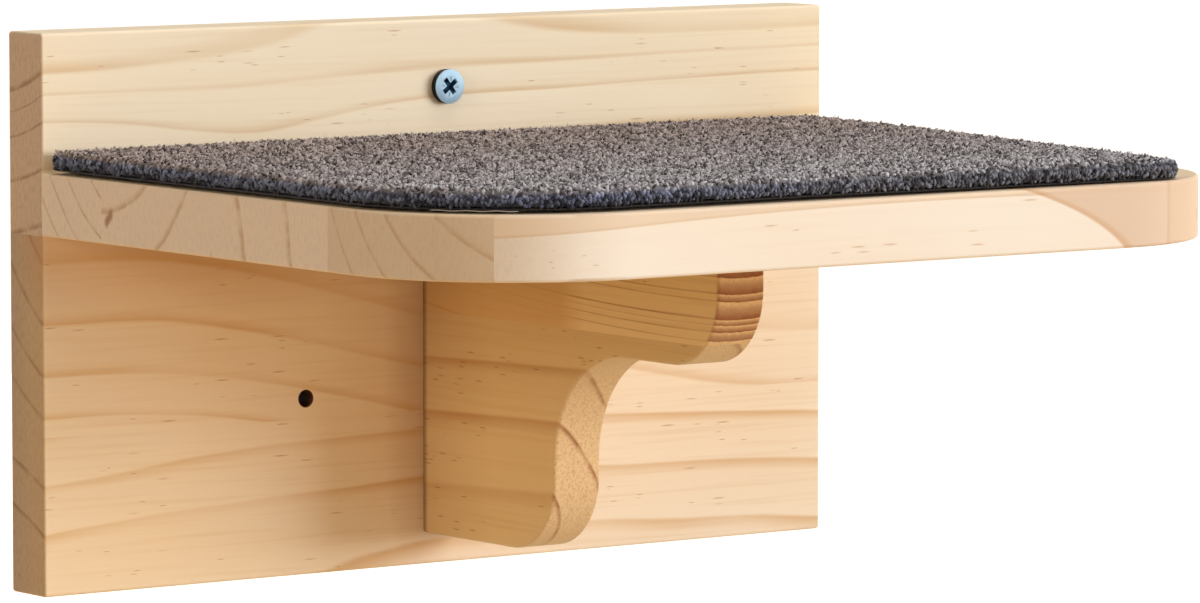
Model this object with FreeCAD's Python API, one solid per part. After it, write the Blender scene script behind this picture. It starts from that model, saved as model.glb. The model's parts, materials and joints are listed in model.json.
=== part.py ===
import FreeCAD, Part
import os

# Cat wall step: a pine shelf on a wall board, held up by a shaped bracket, with a carpet mat on top.
# The boards are edge-glued panels, so each glued stave of wood is a piece of its own.
# The origin is the middle of the wall face. +X is to the right, +Y points into the wall, +Z is up.
# A height is measured up from the wall board's lower edge, and a depth out from its front face.
# All sizes are in millimetres.

# Wall board, of three staves: its upper glue line is level with the shelf's underside
step_width = 280.0
board_height = 162.0
board_thickness = 18.0
board_lower_glue_line = 6.0                      # below the lower wall holes

# Shelf, as wide as the wall board
shelf_depth = 212.0
shelf_thickness = 18.0
shelf_top_height = 122.0
shelf_corner_radius = 53.0
shelf_glue_lines = [32.0, 89.5, 147.0]           # out from the wall board
shelf_front_stave = 13.0

# Bracket under the shelf: a foot on the wall board, a cove, and an arm along the shelf
bracket_thickness = 16.5
bracket_foot_depth = 67.0
bracket_foot_straight = 5.0
bracket_cove_radius = 33.0
bracket_arm_straight = 24.0
bracket_arm_thickness = 34.5
bracket_nose_radius = 22.0
bracket_glue_line = 28.0                         # below the bracket's top

# Rounding of every sanded wooden edge
arris_radius = 1.0

# Carpet mat: pile on a backing, held down by strips of tape that stop short of its edge.
# Its left edge and front left corner follow the shelf's. Its right edge runs in at a slant.
mat_left_inset = 0.5                             # from the shelf's left edge
mat_front_inset = 3.5                            # from the shelf's front edge
mat_right_inset = 5.0                            # from the shelf's right edge, at the wall board
mat_back_gap = 2.0                               # from the wall board
mat_right_slant = 24.5                           # from the back of the right edge to its front
mat_front_right_radius = 6.0
mat_back_corner_radius = 3.0
pile_height = 4.6
pile_edge_rounding = 2.2
backing_thickness = 1.0
tape_thickness = 0.8
tape_width = 25.0
tape_edge_inset = 12.0                           # from the mat's edge
tape_names = ["front", "middle", "rear"]

# Holes for fixing to the wall: one above the shelf, two below it
wall_hole_diameter = 5.1
wall_hole_spread = 100.0
wall_hole_height = 52.0

# Wall screw in the upper hole, whose head stands out from the board
wall_screw_head = 10.2
wall_screw_shank = 5.0
wall_screw_length = 50.0
wall_screw_stand_off = 2.4

# Screws that hold the wooden pieces together, with heads sunk just below the surface
wood_screw_head = 8.0
wood_screw_shank = 4.0
board_screw_length = 45.0
shelf_screw_length = 40.0
wood_screw_sink = 0.3
shelf_screw_spread = 190.0
shelf_screw_names = ["left", "centre", "right"]
bracket_lower_screw_height = 31.5
arm_screw_depths = {"rear": 40.0, "front": 105.0}

# What every screw shares
screw_rim = 0.5
screw_tip = 6.0
screw_clearance = 0.05
recess_span = 5.4
recess_wing = 1.3
recess_depth = 2.0
recess_bottom_span = 2.2
recess_turn = 45.0

# Places that follow from the sizes
board_bottom = -board_height / 2
board_top = board_height / 2
board_front = -board_thickness
half_width = step_width / 2
shelf_top = board_bottom + shelf_top_height
shelf_underside = shelf_top - shelf_thickness
shelf_middle = (shelf_top + shelf_underside) / 2
shelf_front = board_front - shelf_depth
upper_hole = (shelf_top + board_top) / 2
lower_holes = board_bottom + wall_hole_height
arm_underside = shelf_underside - bracket_arm_thickness
cove_end = arm_underside - bracket_cove_radius
foot_middle = cove_end - bracket_foot_straight
bracket_bottom = foot_middle - bracket_nose_radius
mat_bottom = shelf_top + tape_thickness

INTO_WALL = FreeCAD.Vector(0, 1, 0)
OUT_OF_WALL = FreeCAD.Vector(0, -1, 0)
UP = FreeCAD.Vector(0, 0, 1)
DOWN = FreeCAD.Vector(0, 0, -1)
ORIGIN = FreeCAD.Vector(0, 0, 0)
SAME_PLACE = 1e-6

os.makedirs("parts", exist_ok=True)


def save(name, shape):
    """Writes one piece to its own file and prints what it is."""
    box = shape.optimalBoundingBox()
    print(f"{name}: {shape.Volume:.0f} mm3, {box.XLength:.1f} x {box.YLength:.1f} x {box.ZLength:.1f} mm")
    shape.exportStep(f"parts/{name}.step")


def box_between(low, high):
    """A box from its lowest to its highest corner."""
    size = FreeCAD.Vector(*high) - FreeCAD.Vector(*low)
    return Part.makeBox(size.x, size.y, size.z, FreeCAD.Vector(*low))


def middle_of(edge):
    """The point halfway along an edge."""
    return edge.valueAt((edge.FirstParameter + edge.LastParameter) / 2)


def ease(solid, is_sanded):
    """Rounds the edges whose middle the test picks, as sandpaper does."""
    edges = [edge for edge in solid.Edges if is_sanded(middle_of(edge))]
    return solid.makeFillet(arris_radius, edges)


def slices(panel, axis, start, glue_lines, end):
    """Cuts a glued panel along its glue lines, which are places on the y or z axis, into its staves."""
    inside = [line for line in glue_lines if start < line < end]
    places = [start, *sorted(inside), end]
    reach = panel.BoundBox.DiagonalLength
    staves = []
    for low, high in zip(places, places[1:]):
        low_corner = FreeCAD.Vector(-reach, -reach, -reach)
        high_corner = FreeCAD.Vector(reach, reach, reach)
        setattr(low_corner, axis, low)
        setattr(high_corner, axis, high)
        staves.append(panel.common(box_between(low_corner, high_corner)))
    return staves


def round_corner(plate, x, y, radius):
    """Rounds the upright edge that stands at a place."""
    def stands_there(edge):
        place = middle_of(edge)
        return abs(place.x - x) < SAME_PLACE and abs(place.y - y) < SAME_PLACE

    return plate.makeFillet(radius, [edge for edge in plate.Edges if stands_there(edge)])


def screw_form(head, shank, length, clearance=0.0, reach=0.0):
    """A countersunk screw pointing down, with the middle of its head's face at the origin.
    A clearance and a reach above the face turn it into the hole that the screw goes in."""
    head_radius = head / 2 + clearance
    shank_radius = shank / 2 + clearance
    cone_bottom = -screw_rim - (head - shank) / 2
    outline = [
        (0, reach),
        (head_radius, reach),
        (head_radius, -screw_rim),
        (shank_radius, cone_bottom),
        (shank_radius, screw_tip - length),
        (0, -length - clearance),
        (0, reach),
    ]
    points = [FreeCAD.Vector(x, 0, z) for x, z in outline]
    face = Part.Face(Part.makePolygon(points))
    return face.revolve(ORIGIN, UP, 360)


def cross_recess():
    """The tapered cross that the driver goes in, below a face at the origin."""
    wing_outline = [
        (-recess_span / 2, 0),
        (recess_span / 2, 0),
        (recess_bottom_span / 2, -recess_depth),
        (-recess_bottom_span / 2, -recess_depth),
        (-recess_span / 2, 0),
    ]
    points = [FreeCAD.Vector(x, -recess_wing / 2, z) for x, z in wing_outline]
    wing = Part.Face(Part.makePolygon(points)).extrude(FreeCAD.Vector(0, recess_wing, 0))
    other_wing = wing.copy()
    other_wing.rotate(ORIGIN, UP, 90)
    cross = wing.fuse(other_wing)
    cross.rotate(ORIGIN, UP, recess_turn)
    return cross


def placed(form, head_place, direction):
    """A screw or its hole, moved so that its head is at a place and its tip points along a direction."""
    moved = form.copy()
    moved.Placement = FreeCAD.Placement(head_place, FreeCAD.Rotation(DOWN, direction))
    return moved


class Screw:
    """One screw at its place, with the hole that it needs."""

    def __init__(self, name, head, shank, length, head_place, direction, reach):
        body = screw_form(head, shank, length).cut(cross_recess())
        hole = screw_form(head, shank, length, screw_clearance, reach)
        self.name = name
        self.shape = placed(body, head_place, direction)
        self.hole = placed(hole, head_place, direction)


def wall_screw():
    """The screw in the upper wall hole, with its head proud of the board's front face."""
    head_place = FreeCAD.Vector(0, board_front - wall_screw_stand_off, upper_hole)
    sizes = (wall_screw_head, wall_screw_shank, wall_screw_length)
    return Screw("wall_screw", *sizes, head_place, INTO_WALL, 0.0)


def board_screw(name, x, z):
    """A screw driven from behind, through the wall board and into what stands on its front."""
    head_place = FreeCAD.Vector(x, -wood_screw_sink, z)
    sizes = (wood_screw_head, wood_screw_shank, board_screw_length)
    return Screw(name, *sizes, head_place, OUT_OF_WALL, wood_screw_sink)


def arm_screw(name, depth):
    """A screw driven down through the shelf, under the mat, into the bracket's arm."""
    head_place = FreeCAD.Vector(0, board_front - depth, shelf_top - wood_screw_sink)
    sizes = (wood_screw_head, wood_screw_shank, shelf_screw_length)
    return Screw(name, *sizes, head_place, DOWN, wood_screw_sink)


def all_screws():
    """Every screw of the step."""
    screws = [wall_screw()]
    for number, side in enumerate(shelf_screw_names):
        share = number / (len(shelf_screw_names) - 1) - 0.5
        screws.append(board_screw(f"shelf_screw_{side}", share * shelf_screw_spread, shelf_middle))
    arm_stave_middle = shelf_underside - bracket_glue_line / 2
    screws.append(board_screw("bracket_screw_upper", 0, arm_stave_middle))
    screws.append(board_screw("bracket_screw_lower", 0, board_bottom + bracket_lower_screw_height))
    for place, depth in arm_screw_depths.items():
        screws.append(arm_screw(f"bracket_arm_screw_{place}", depth))
    return screws


def wall_holes():
    """The plain holes through the wall board."""
    radius = wall_hole_diameter / 2
    side = wall_hole_spread / 2
    places = [(-side, lower_holes), (side, lower_holes), (0, upper_hole)]
    return [
        Part.makeCylinder(radius, board_thickness, FreeCAD.Vector(x, board_front, z), INTO_WALL)
        for x, z in places
    ]


def wall_board():
    """The glued panel that goes on the wall, with all its edges sanded."""
    panel = box_between((-half_width, board_front, board_bottom), (half_width, 0, board_top))
    return ease(panel, lambda point: True)


def shelf():
    """The glued panel that the cat stands on, sanded everywhere but where it meets the wall board."""
    panel = box_between((-half_width, shelf_front, shelf_underside), (half_width, board_front, shelf_top))
    for side in (-half_width, half_width):
        panel = round_corner(panel, side, shelf_front, shelf_corner_radius)

    def is_sanded(point):
        on_face = min(abs(point.z - shelf_top), abs(point.z - shelf_underside)) < SAME_PLACE
        return on_face and abs(point.y - board_front) > SAME_PLACE

    return ease(panel, is_sanded)


def bracket():
    """The sawn bracket: flat against the wall board and the shelf, with a cove between two round noses."""
    foot_front = board_front - bracket_foot_depth
    foot_back = foot_front + bracket_nose_radius
    cove_middle = foot_front - bracket_cove_radius
    arm_middle = cove_middle - bracket_arm_straight
    arm_front = arm_middle - bracket_nose_radius
    arm_nose_top = arm_underside + bracket_nose_radius
    left = -bracket_thickness / 2

    def line(start, end):
        return Part.LineSegment(FreeCAD.Vector(left, *start), FreeCAD.Vector(left, *end)).toShape()

    def quarter(start, centre, end):
        """A quarter circle, whose halfway point lies on the diagonal between its ends."""
        spokes = [(point[0] - centre[0], point[1] - centre[1]) for point in (start, end)]
        halfway = [c + (a + b) * 0.5 ** 0.5 for c, a, b in zip(centre, *spokes)]
        points = [FreeCAD.Vector(left, *point) for point in (start, halfway, end)]
        return Part.Arc(*points).toShape()

    edges = [
        line((board_front, shelf_underside), (board_front, bracket_bottom)),
        line((board_front, bracket_bottom), (foot_back, bracket_bottom)),
        quarter((foot_back, bracket_bottom), (foot_back, foot_middle), (foot_front, foot_middle)),
        line((foot_front, foot_middle), (foot_front, cove_end)),
        quarter((foot_front, cove_end), (cove_middle, cove_end), (cove_middle, arm_underside)),
        line((cove_middle, arm_underside), (arm_middle, arm_underside)),
        quarter((arm_middle, arm_underside), (arm_middle, arm_nose_top), (arm_front, arm_nose_top)),
        line((arm_front, arm_nose_top), (arm_front, shelf_underside)),
        line((arm_front, shelf_underside), (board_front, shelf_underside)),
    ]
    blank = Part.Face(Part.Wire(edges)).extrude(FreeCAD.Vector(bracket_thickness, 0, 0))

    def is_sanded(point):
        on_side = abs(abs(point.x) - bracket_thickness / 2) < SAME_PLACE
        on_board = abs(point.y - board_front) < SAME_PLACE
        on_shelf = abs(point.z - shelf_underside) < SAME_PLACE
        return on_side and not on_board and not on_shelf

    return ease(blank, is_sanded)


def mat_plate(inset, bottom, thickness):
    """A layer of the mat, with its edge inside the mat's own edge by an inset."""
    mat_front = shelf_front + mat_front_inset
    mat_back = board_front - mat_back_gap
    left = mat_left_inset + inset - half_width
    front = mat_front + inset
    back = mat_back - inset

    def right_edge(y):
        lean = mat_right_slant * (mat_back - y) / (mat_back - mat_front)
        return half_width - mat_right_inset - inset - lean

    corners = [
        (left, front, shelf_corner_radius - mat_left_inset - inset),
        (right_edge(front), front, mat_front_right_radius),
        (right_edge(back), back, mat_back_corner_radius),
        (left, back, mat_back_corner_radius),
    ]
    points = [FreeCAD.Vector(x, y, bottom) for x, y, radius in corners]
    plate = Part.Face(Part.makePolygon([*points, points[0]])).extrude(UP * thickness)
    for corner in corners:
        plate = round_corner(plate, *corner)
    return plate


def carpet_pile():
    """The felted pile: a flat mat whose upper edge is rounded over."""
    bottom = mat_bottom + backing_thickness
    plate = mat_plate(0, bottom, pile_height)
    top = bottom + pile_height
    upper_edges = [edge for edge in plate.Edges if abs(middle_of(edge).z - top) < SAME_PLACE]
    return plate.makeFillet(pile_edge_rounding, upper_edges)


def carpet_backing():
    """The thin rubbery layer that the pile is felted into."""
    return mat_plate(0, mat_bottom, backing_thickness)


def tape_strips():
    """Strips of double-sided tape across the mat, evenly spaced from front to back."""
    layer = mat_plate(tape_edge_inset, shelf_top, tape_thickness)
    first_front = shelf_front + mat_front_inset + tape_edge_inset
    last_back = board_front - mat_back_gap - tape_edge_inset
    spacing = (last_back - first_front - tape_width) / (len(tape_names) - 1)
    strips = []
    for number in range(len(tape_names)):
        front = first_front + number * spacing
        band = box_between((-half_width, front, shelf_top), (half_width, front + tape_width, mat_bottom))
        strips.append(layer.common(band))
    return strips


def build():
    """Makes every piece and writes it."""
    screws = all_screws()
    holes = [screw.hole for screw in screws]
    board_panel = wall_board().cut(wall_holes() + holes)
    shelf_panel = shelf().cut(holes)
    bracket_panel = bracket().cut(holes)

    board_cuts = [lower_holes - board_lower_glue_line, shelf_underside]
    board_staves = slices(board_panel, "z", board_bottom, board_cuts, board_top)
    for number, stave in enumerate(reversed(board_staves), start=1):
        save(f"board_stave_{number}", stave)

    shelf_cuts = [board_front - line for line in shelf_glue_lines]
    shelf_cuts.append(shelf_front + shelf_front_stave)
    shelf_staves = slices(shelf_panel, "y", shelf_front, shelf_cuts, board_front)
    for number, stave in enumerate(shelf_staves, start=1):
        save(f"shelf_stave_{number}", stave)

    bracket_cut = shelf_underside - bracket_glue_line
    foot, arm = slices(bracket_panel, "z", bracket_bottom, [bracket_cut], shelf_underside)
    save("bracket_foot_stave", foot)
    save("bracket_arm_stave", arm)

    save("carpet_pile", carpet_pile())
    save("carpet_backing", carpet_backing())
    for name, strip in zip(tape_names, tape_strips()):
        save(f"mat_tape_{name}", strip)
    for screw in screws:
        save(screw.name, screw.shape)


build()
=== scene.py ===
# %% [markdown]
# Cat wall step: a small pine shelf on a wall board, held up by a coved bracket, with a carpet mat on top.
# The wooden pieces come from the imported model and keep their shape. Here they get their wood, the hard
# pieces get their metal, and the soft mat is modelled again as felt, because a plain solid isn't felt.
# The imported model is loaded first: everything else is placed from what it measures.

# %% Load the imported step
import json
import math

import bpy
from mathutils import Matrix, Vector


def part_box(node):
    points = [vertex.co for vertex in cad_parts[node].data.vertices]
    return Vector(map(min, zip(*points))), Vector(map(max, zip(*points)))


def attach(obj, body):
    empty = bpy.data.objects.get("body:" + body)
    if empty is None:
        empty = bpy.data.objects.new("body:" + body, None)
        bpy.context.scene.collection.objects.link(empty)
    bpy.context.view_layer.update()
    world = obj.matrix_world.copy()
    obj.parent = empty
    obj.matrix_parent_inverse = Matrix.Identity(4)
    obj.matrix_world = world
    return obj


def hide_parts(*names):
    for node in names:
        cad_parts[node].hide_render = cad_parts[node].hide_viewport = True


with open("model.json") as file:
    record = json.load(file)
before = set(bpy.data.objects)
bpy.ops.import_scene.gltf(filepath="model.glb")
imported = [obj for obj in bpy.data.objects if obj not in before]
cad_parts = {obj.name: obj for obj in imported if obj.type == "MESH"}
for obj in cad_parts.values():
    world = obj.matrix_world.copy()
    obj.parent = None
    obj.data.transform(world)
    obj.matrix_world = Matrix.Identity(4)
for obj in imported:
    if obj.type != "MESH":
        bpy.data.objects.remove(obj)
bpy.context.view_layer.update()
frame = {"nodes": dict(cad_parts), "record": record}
nodes = frame["nodes"]
bpy.ops.object.select_all(action="DESELECT")
MM = 0.001

# %% [markdown]
# The photograph was taken with a long lens from well in front, to the left and a little above.
# A camera is placed by where it stands and how it is turned: first a heading round the vertical, then a
# small dip. Its lens is worked out from a match of the step's edges, so no shift is needed.

# %% Camera at the photograph's angle
STANDPOINT = (-1.2240, -1.7933, 0.1935)
HEADING = math.radians(35.8)
DIP = math.radians(5.21)
SENSOR = 36
LENS = 218.7
bpy.ops.object.camera_add(location=STANDPOINT, rotation=(math.pi / 2 - DIP, 0, -HEADING))
camera = bpy.context.object
camera.data.sensor_width = SENSOR
camera.data.lens = LENS
bpy.context.scene.camera = camera
bpy.context.scene.view_settings.view_transform = "Standard"
print("camera", [round(v, 3) for v in camera.location], "lens", camera.data.lens)

# %% [markdown]
# Every finish below is a graph of nodes, so one small helper adds a node, sets it up and fills its inputs.
# Colours are written as they look on a screen, and the shader wants linear light, so one function turns
# the first into the second.


# %% Helpers for finishes
def linear(code):
    """A colour such as #F2DDBC as the linear values that shaders use."""
    shown = [int(code[i:i + 2], 16) / 255 for i in (1, 3, 5)]
    return [v / 12.92 if v <= 0.04045 else ((v + 0.055) / 1.055) ** 2.4 for v in shown] + [1]


def add(tree, kind, inputs=(), stops=(), **settings):
    """Adds a node with its settings. Each input gets a value, or another node's output to link.
    Stops are the places and colours of a colour ramp."""
    node = tree.nodes.new(kind)
    for name, value in settings.items():
        setattr(node, name, value)
    for name, value in dict(inputs).items():
        if isinstance(value, bpy.types.NodeSocket):
            tree.links.new(value, node.inputs[name])
        else:
            node.inputs[name].default_value = value
    for number, (place, colour) in enumerate(stops):
        ramp = node.color_ramp.elements
        stop = ramp[number] if number < len(ramp) else ramp.new(1.0)
        stop.position = place
        stop.color = colour
    return node


def new_finish(name, values):
    """A finish of one surface shader with these values: the material, its node tree and that shader."""
    material = bpy.data.materials.new(name)
    material.use_nodes = True
    surface = material.node_tree.nodes["Principled BSDF"]
    for socket, value in values.items():
        surface.inputs[socket].default_value = value
    return material, material.node_tree, surface


def painted(tree, colour, layers):
    """A colour with others laid over it in turn, each by its share from 0 to 1."""
    for share, tint in layers:
        colour = add(tree, "ShaderNodeMix", {0: share, 6: colour, 7: tint}, data_type="RGBA").outputs[2]
    return colour


def finish(piece, material):
    """Gives a piece its one finish."""
    piece.data.materials.clear()
    piece.data.materials.append(material)
    print(piece.name, "is", material.name)


print("middle grey in linear light:", round(linear("#808080")[0], 3))

# %% [markdown]
# The step hangs on a wall, so the floor lies well below it. A pale floor that fills the view gives the
# white ground. It glows where it is looked at, and only there: on the step it only throws back the light
# of the lamps, as warmly as a wooden floor would.

# %% Floor
WHITE = (1, 1, 1, 1)
FLOOR_SIZE = 60
FLOOR_HEIGHT = -0.42
FLOOR_GLOW = 0.95


def looked_at(tree):
    """1 where the camera, a mirror or glass shows the surface itself, and 0 where it only sends light on."""
    path = add(tree, "ShaderNodeLightPath")
    share = path.outputs["Is Camera Ray"]
    for ray in ("Is Glossy Ray", "Is Transmission Ray"):
        share = add(tree, "ShaderNodeMath", {0: share, 1: path.outputs[ray]}, operation="MAXIMUM").outputs[0]
    return share


bpy.ops.mesh.primitive_plane_add(size=FLOOR_SIZE, location=(0, 0, FLOOR_HEIGHT))
floor = bpy.context.object
floor.name = "floor"
paint, tree, surface = new_finish("pale_floor_paint", {
    "Base Color": linear("#E6CBA2"), "Roughness": 0.9, "Emission Color": WHITE})
glow = add(tree, "ShaderNodeMath", {0: looked_at(tree), 1: FLOOR_GLOW}, operation="MULTIPLY")
tree.links.new(glow.outputs[0], surface.inputs["Emission Strength"])
finish(floor, paint)
print("floor at", FLOOR_HEIGHT, "m")

# %% [markdown]
# The sky works in the same way. It is white where it is looked at, and on the step it is the weak warm
# light that the walls of a room send from all sides.

# %% Sky
WARM_ROOM = (1.0, 0.7, 0.42, 1)
ROOM_LIGHT = 0.14
world = bpy.data.worlds.new("studio")
bpy.context.scene.world = world
world.use_nodes = True
tree = world.node_tree
sky = tree.nodes["Background"]
seen = looked_at(tree)
level = add(tree, "ShaderNodeMapRange", {0: seen, 3: ROOM_LIGHT, 4: 1.0})
tint = painted(tree, WARM_ROOM, [(seen, WHITE)])
tree.links.new(level.outputs[0], sky.inputs["Strength"])
tree.links.new(tint, sky.inputs["Color"])
print("light of the room:", ROOM_LIGHT)

# %% [markdown]
# The key light is a wide soft box at the front right, centred little higher than the shelf, because in the
# photograph the board is bright right up to the shelf on that side and shaded by the bracket on the other.
# A weaker one stands at the left, one hangs above, and one stands behind, where no wall is, so that the
# back of the board can be seen too.

# %% Lamps
COOL_DAY = (0.95, 1.0, 1.08)
LAMP_LIGHT = (1.0, 0.9, 0.8)
STEP_MIDDLE = Vector((0, -0.1, 0))


def soft_box(name, place, size, watts, colour=(1, 1, 1)):
    """A square lamp that faces the step. Metal shows the white room and not the lamp itself."""
    bpy.ops.object.light_add(type="AREA", location=place)
    lamp = bpy.context.object
    lamp.name = name
    lamp.data.size = size
    lamp.data.energy = watts
    lamp.data.color = colour
    lamp.visible_glossy = False
    lamp.rotation_euler = (STEP_MIDDLE - Vector(place)).to_track_quat("-Z", "Y").to_euler()
    print("lamp", name, watts, "W")


soft_box("key", (7.2, -7.2, 0.35), 7.0, 1535, COOL_DAY)
soft_box("left_fill", (-2.8, -0.9, 0.75), 1.0, 26, LAMP_LIGHT)
soft_box("overhead", (0.2, -0.5, 1.9), 1.2, 15)
soft_box("back_fill", (0.9, 3.6, 0.3), 2.5, 60, LAMP_LIGHT)

# %% [markdown]
# Radiata pine, edge-glued and sanded. A tree adds a ring of wood each year: soft and pale in spring, then
# darker until growth stops, so each ring fades into a thin brown line with a sharp outer edge. A plank is
# a cut through those rings, and the same rings draw long lines on its faces and arcs on its ends. So the
# wood is drawn as a solid: the distance from the pith, the middle of the log, says which year a point
# grew in. Every stave comes from another log, so each has its own pith and its own list of years.

# %% Shades of pine
SPRING = "#F9EAD3"
FLUSH = "#F5DEBB"
AUTUMN = "#DDB988"
RESIN = "#C4935E"
END_SPRING = "#EBDAC6"
END_AUTUMN = "#C6A684"
# How dark a ring is across its width: pairs of a share of the year and a tone
SOFT_LINES = [(0.0, 0.0), (0.76, 0.14), (0.95, 1.0)]
THIN_LINES = [(0.0, 0.0), (0.87, 0.05), (0.96, 1.0)]
BROAD_BANDS = [(0.0, 0.0), (0.4, 0.55), (0.985, 1.0)]
print("pine from", SPRING, "in spring to", AUTUMN, "in autumn")

# %% [markdown]
# Wood changes slowly along the grain and quickly across it, so its clouds are noise that is stretched along
# the log. A mark, such as the painted shade in a hole, is where a point is near enough to a centre.

# %% Clouds and marks in a log
ALL = 0


def grown(tree, log, grain_size, detail, seed):
    """Cloudy variation. The grain size is its length along the log and its width across it, in mm."""
    length, width = grain_size
    scaled = add(tree, "ShaderNodeMapping", {0: log, "Scale": (1 / length, 1 / width, 1 / width)})
    return add(tree, "ShaderNodeTexNoise", {"Vector": scaled.outputs[0], "W": seed, "Scale": 1,
                                            "Detail": detail}, noise_dimensions="4D").outputs["Fac"]


def off_centre(tree, vector, centre, reach):
    """Distance from a centre, where 1 is one reach. A reach of ALL leaves that axis out."""
    scale = [1 / r if r else 0 for r in reach]
    location = [-c * s for c, s in zip(centre, scale)]
    moved = add(tree, "ShaderNodeMapping", {0: vector, "Location": location, "Scale": scale})
    return add(tree, "ShaderNodeVectorMath", {0: moved.outputs[0]}, operation="LENGTH").outputs["Value"]


print("an axis with a reach of", ALL, "is left out")

# %% [markdown]
# Now the rings. The pith leans and bows along the log, and growth is never quite even, so slow waves,
# ragged fibres and pushes round hidden knots are added to the distance from it. A colour ramp then gives
# each year its tone: pale for long, then darker up to its sharp outer edge.


# %% Rings of a log
def from_pith(tree, along, side, rise, pith, lean, sweep, oval):
    """Distance in mm from the pith, which leans and bows along the log. An oval over 1 narrows rings."""
    pith_side = add(tree, "ShaderNodeMath", {0: along, 1: -lean[0], 2: -pith[0]}, operation="MULTIPLY_ADD")
    from_side = add(tree, "ShaderNodeMath", {0: side, 1: pith_side.outputs[0]}, operation="ADD")
    wide = add(tree, "ShaderNodeMath", {0: from_side.outputs[0], 1: oval}, operation="MULTIPLY")
    slope = add(tree, "ShaderNodeMath", {0: along, 1: -sweep, 2: -lean[1]}, operation="MULTIPLY_ADD")
    pith_rise = add(tree, "ShaderNodeMath", {0: along, 1: slope.outputs[0], 2: -pith[1]},
                    operation="MULTIPLY_ADD")
    from_rise = add(tree, "ShaderNodeMath", {0: rise, 1: pith_rise.outputs[0]}, operation="ADD")
    across = add(tree, "ShaderNodeCombineXYZ", {1: wide.outputs[0], 2: from_rise.outputs[0]})
    return add(tree, "ShaderNodeVectorMath", {0: across.outputs[0]}, operation="LENGTH").outputs["Value"]


def pushed(tree, radius, log, rise, swings, swirls):
    """The radius of uneven growth, in mm. A swing is a cloud and how far it moves the radius. A swirl is a
    knot's place along the log, its reach, the two heights between which it sets in, and its push."""
    shifts = [add(tree, "ShaderNodeMapRange", {0: cloud, 3: -far, 4: far}) for cloud, far in swings]
    for knot, reach, rise_from, rise_to, push in swirls:
        off_knot = off_centre(tree, log, (knot, 0, 0), (reach, ALL, ALL))
        beside = add(tree, "ShaderNodeMapRange", {0: off_knot, 3: push, 4: 0},
                     interpolation_type="SMOOTHSTEP")
        shifts.append(add(tree, "ShaderNodeMapRange", {0: rise, 1: rise_from, 2: rise_to, 3: 0,
                                                       4: beside.outputs[0]}))
    for shift in shifts:
        radius = add(tree, "ShaderNodeMath", {0: radius, 1: shift.outputs[0]}, operation="ADD").outputs[0]
    return radius


def rings(tree, radius, years, profile, strength):
    """The tone from 0 to 1 that all the years give together, times a strength."""
    first = years[0]
    span = years[-1] - first
    age = add(tree, "ShaderNodeMapRange", {0: radius, 1: first, 2: years[-1]})
    stops = [((inner + share * (outer - inner) - first) / span, (tone, tone, tone, 1))
             for inner, outer in zip(years, years[1:]) for share, tone in profile]
    tones = add(tree, "ShaderNodeValToRGB", {0: age.outputs[0]}, stops=stops + [(1.0, (0, 0, 0, 1))])
    return add(tree, "ShaderNodeMath", {0: tones.outputs[0], 1: strength}, operation="MULTIPLY").outputs[0]


print("stops of a soft ring:", SOFT_LINES)

# %% [markdown]
# Resin canals run along the log and show as short brown dashes in groups. A Voronoi pattern of long narrow
# cells has a centre in each, and a dash is what lies close to it. A cloud chooses where the groups are, and
# each cell's own random colour says whether it has a dash and how thick that is.

# %% Resin canals
CANAL_CELL = (10, 0.95)
CANAL_GROUP = (45, 10)
GROUPED = (0.47, 0.62)
DASH_CORE = 0.05
DASH_THINNEST = 0.16
DASH_VARIES = 0.18
DASH_DARKEST = 0.9


def resin_dashes(tree, log, canals, seed):
    """The share of resin. Inside a group, canals is the share of cells that have a dash."""
    length, width = CANAL_CELL
    canals_at = add(tree, "ShaderNodeMapping", {0: log, "Location": (seed, 0, 0),
                                                "Scale": (1 / length, 1 / width, 1 / width)})
    cells = add(tree, "ShaderNodeTexVoronoi", {"Vector": canals_at.outputs[0], "Scale": 1})
    chance = add(tree, "ShaderNodeSeparateColor", {0: cells.outputs["Color"]})
    thick = add(tree, "ShaderNodeMath", {0: chance.outputs[1], 1: DASH_VARIES, 2: DASH_THINNEST},
                operation="MULTIPLY_ADD")
    near = add(tree, "ShaderNodeMapRange", {0: cells.outputs["Distance"], 1: DASH_CORE, 2: thick.outputs[0],
                                            3: DASH_DARKEST, 4: 0})
    groups = grown(tree, log, CANAL_GROUP, detail=1, seed=seed + 2)
    group = add(tree, "ShaderNodeMapRange", {0: groups, 1: GROUPED[0], 2: GROUPED[1], 3: 0, 4: canals})
    picked = add(tree, "ShaderNodeMath", {0: group.outputs[0], 1: chance.outputs[0]},
                 operation="GREATER_THAN")
    dash = add(tree, "ShaderNodeMath", {0: near.outputs[0], 1: picked.outputs[0]}, operation="MULTIPLY")
    return dash.outputs[0]


print("cells of resin canals:", CANAL_CELL[0], "mm long and", CANAL_CELL[1], "mm wide")

# %% [markdown]
# One function makes the whole finish. Long faces get rings, streaks and dashes. The cut ends drink more
# light, so they are darker, with rings that break up in places and fine upright saw scratches. The
# surface's own normal says which of the two a point is on. Marks lie over both, and the sanded wood is
# matt, with fibres that can just be felt.

# %% Pine as a solid material
FIBRE = (70, 1.5)
WAVE = (110, 45)
FLUSH_PATCH = (90, 30)
STRONG_PATCH = (80, 25)
BROKEN_PATCH = (40, 5)
RAGGED = 0.3
WEAKEST_RING = 0.4
SCRATCHES_PER_MM = 1.3
RELIEF = 0.2 * MM
# Levels of a cloud between which its effect sets in
STRONG = (0.35, 0.6)
STREAKED = (0.5, 0.8)
SPECKLED = (0.45, 0.7)
# How far a face is turned towards the grain before it counts as an end
TURNED_TO_GRAIN = (0.25, 0.85)


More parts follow.
